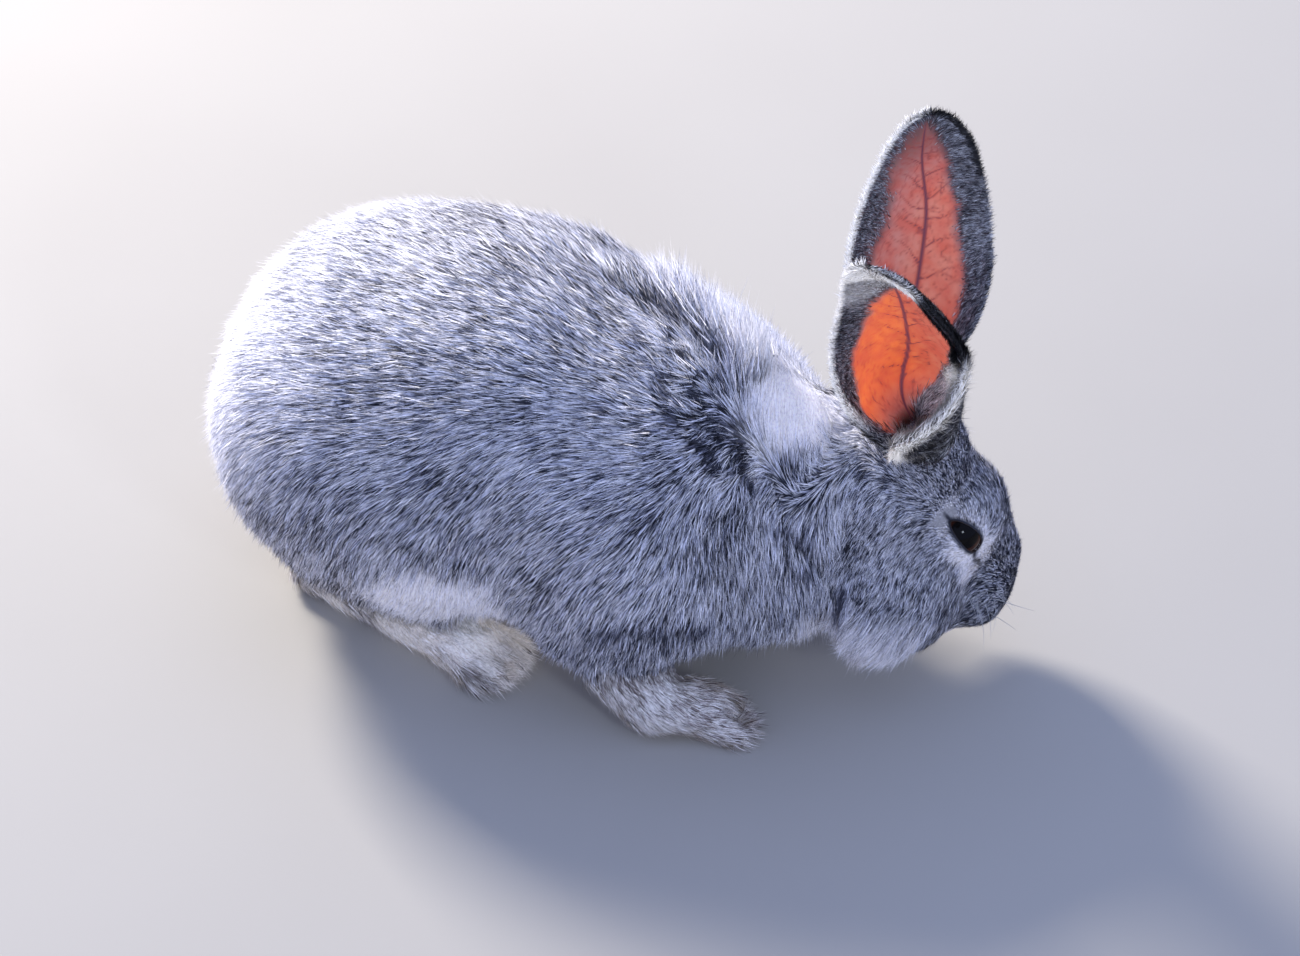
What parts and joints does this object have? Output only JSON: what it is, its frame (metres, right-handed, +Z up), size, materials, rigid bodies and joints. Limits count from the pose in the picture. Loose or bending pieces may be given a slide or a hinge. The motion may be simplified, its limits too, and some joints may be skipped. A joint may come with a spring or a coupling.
{
  "type": "rabbit",
  "caption": "Life-size model of a large chinchilla-grey rabbit, crouched on all fours with its head down as if grazing and both ears up.",
  "frame": {"origin": "middle of the model's outer box, on the floor that it stands on", "axes": "+X forwards, from the tail to the chest, +Y to the animal's left, +Z up"},
  "size_m": [0.3346, 0.1796, 0.2509],
  "materials": {
    "coat": "short dense fur, silver grey ticked with dark tips",
    "pale_coat": "short pale grey fur of the feet",
    "tail_coat": "short dense fur, dark above and white below",
    "ear_skin": "thin skin with veins and very short hair",
    "eye": "wet and glossy, dark brown iris",
    "horn": "smooth dark horn"
  },
  "bodies": {
    "root": {"trunk": "coat", "neck": "coat", "head": "coat", "thigh_right": "coat", "thigh_left": "coat", "upper_arm_right": "coat", "upper_arm_left": "coat", "foreleg_right": "pale_coat", "foreleg_left": "pale_coat", "hindfoot_right": "pale_coat", "hindfoot_left": "pale_coat", "tail": "tail_coat", "ear_right": "ear_skin", "ear_left": "ear_skin", "eye_right": "eye", "eye_left": "eye", "forefoot_right_claw_1": "horn", "forefoot_right_claw_2": "horn", "forefoot_right_claw_3": "horn", "forefoot_right_claw_4": "horn", "forefoot_left_claw_1": "horn", "forefoot_left_claw_2": "horn", "forefoot_left_claw_3": "horn", "forefoot_left_claw_4": "horn", "hindfoot_right_claw_1": "horn", "hindfoot_right_claw_2": "horn", "hindfoot_right_claw_3": "horn", "hindfoot_right_claw_4": "horn", "hindfoot_left_claw_1": "horn", "hindfoot_left_claw_2": "horn", "hindfoot_left_claw_3": "horn", "hindfoot_left_claw_4": "horn"}
  },
  "joints": []
}
